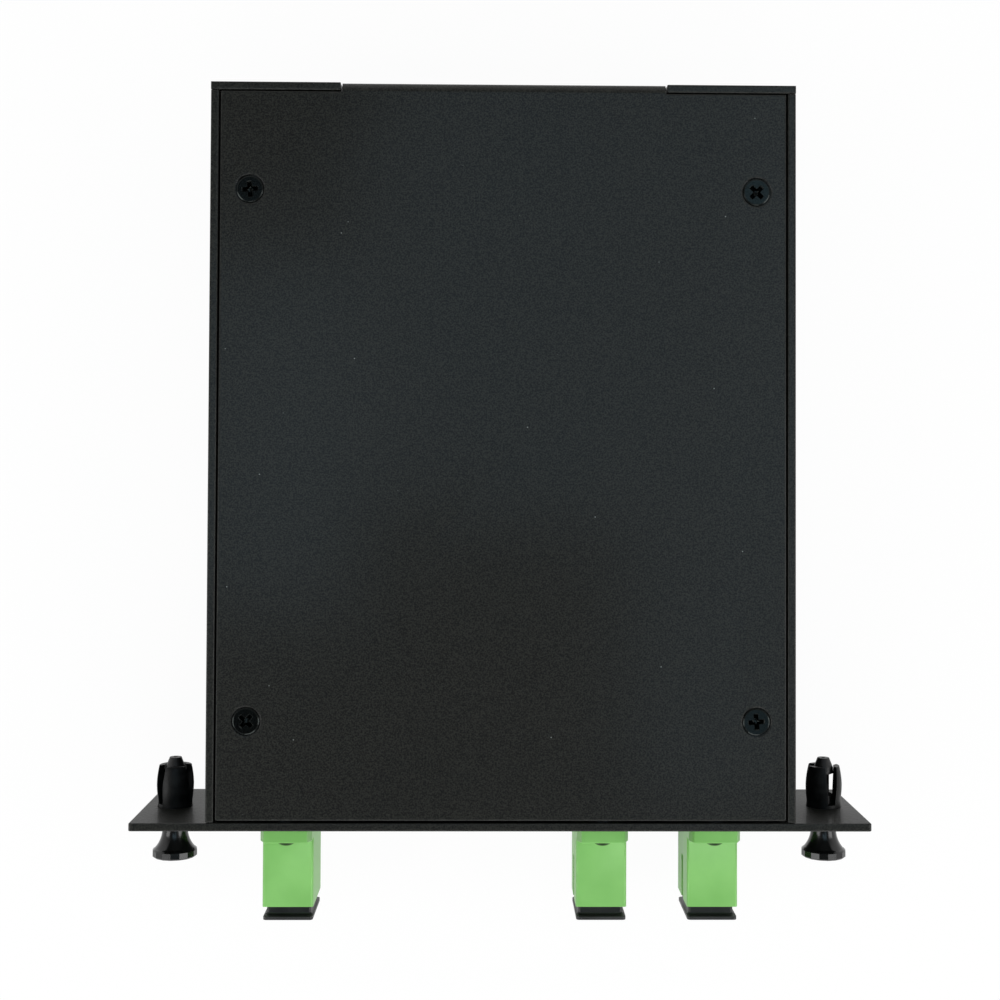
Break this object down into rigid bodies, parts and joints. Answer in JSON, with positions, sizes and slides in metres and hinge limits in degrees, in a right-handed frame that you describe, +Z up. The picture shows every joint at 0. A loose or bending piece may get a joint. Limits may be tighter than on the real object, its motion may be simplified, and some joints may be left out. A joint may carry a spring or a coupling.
{
  "type": "fibre splitter cassette",
  "caption": "Slide-in sheet-steel cassette holding an optical fibre splitter, with capped SC adapters on its front panel and push-pull latches in its wings.",
  "frame": {"origin": "centre of the front panel's rear face, halfway between the two latch axes", "axes": "+X to the right of the panel seen from the front, +Y from the panel to the rear, +Z up through the cover"},
  "size_m": [0.13, 0.1492, 0.029],
  "materials": {
    "coated_steel": "fine textured powder coat",
    "black_screw": "black oxide with a light oil",
    "zinc_steel": "zinc plated",
    "green_moulding": "satin moulded",
    "cream_moulding": "satin moulded",
    "zirconia": "ground ceramic",
    "black_cap": "satin moulded",
    "black_nylon": "semi-gloss moulded",
    "green_plug": "satin moulded",
    "green_boot": "soft moulded",
    "case_steel": "drawn tube",
    "black_rubber": "soft moulded",
    "silica": "polished ends",
    "foam": "closed-cell foam tape",
    "fibre_jacket": "extruded tube",
    "clip_nylon": "moulded"
  },
  "bodies": {
    "root": {"tray": "coated_steel", "top_cover": "coated_steel", "cover_screws": "black_screw", "cover_standoffs": "zinc_steel", "adapter_housing_in": "green_moulding", "adapter_insert_in": "cream_moulding", "adapter_sleeve_in": "zirconia", "connector_in": "green_plug", "ferrule_in": "zirconia", "boot_in": "green_boot", "adapter_housing_out_1": "green_moulding", "adapter_insert_out_1": "cream_moulding", "adapter_sleeve_out_1": "zirconia", "connector_out_1": "green_plug", "ferrule_out_1": "zirconia", "boot_out_1": "green_boot", "adapter_housing_out_2": "green_moulding", "adapter_insert_out_2": "cream_moulding", "adapter_sleeve_out_2": "zirconia", "connector_out_2": "green_plug", "ferrule_out_2": "zirconia", "boot_out_2": "green_boot", "adapter_screws": "black_screw", "adapter_nuts": "zinc_steel", "latch_grommet_left": "black_nylon", "latch_grommet_right": "black_nylon", "splitter_case": "case_steel", "splitter_end_in": "black_rubber", "splitter_end_out": "black_rubber", "splitter_chip": "silica", "fibre_array_in": "silica", "fibre_array_out": "silica", "splitter_pad": "foam", "lead_in": "fibre_jacket", "lead_out_1": "fibre_jacket", "lead_out_2": "fibre_jacket", "fibre_clips": "clip_nylon"},
    "cap_in": {"dust_cap_in": "black_cap"},
    "cap_out_1": {"dust_cap_out_1": "black_cap"},
    "cap_out_2": {"dust_cap_out_2": "black_cap"},
    "plunger_left": {"latch_plunger_left": "black_nylon"},
    "plunger_right": {"latch_plunger_right": "black_nylon"}
  },
  "joints": [
    {"name": "cap_pull_in", "type": "slide", "parent": "root", "child": "cap_in", "axis": [0, -1, 0], "range_m": [0, 0.02]},
    {"name": "cap_pull_out_1", "type": "slide", "parent": "root", "child": "cap_out_1", "axis": [0, -1, 0], "range_m": [0, 0.02]},
    {"name": "cap_pull_out_2", "type": "slide", "parent": "root", "child": "cap_out_2", "axis": [0, -1, 0], "range_m": [0, 0.02]},
    {"name": "plunger_pull_left", "type": "slide", "parent": "root", "child": "plunger_left", "axis": [0, -1, 0], "range_m": [0, 0.0035]},
    {"name": "plunger_pull_right", "type": "slide", "parent": "root", "child": "plunger_right", "axis": [0, -1, 0], "range_m": [0, 0.0035]}
  ]
}
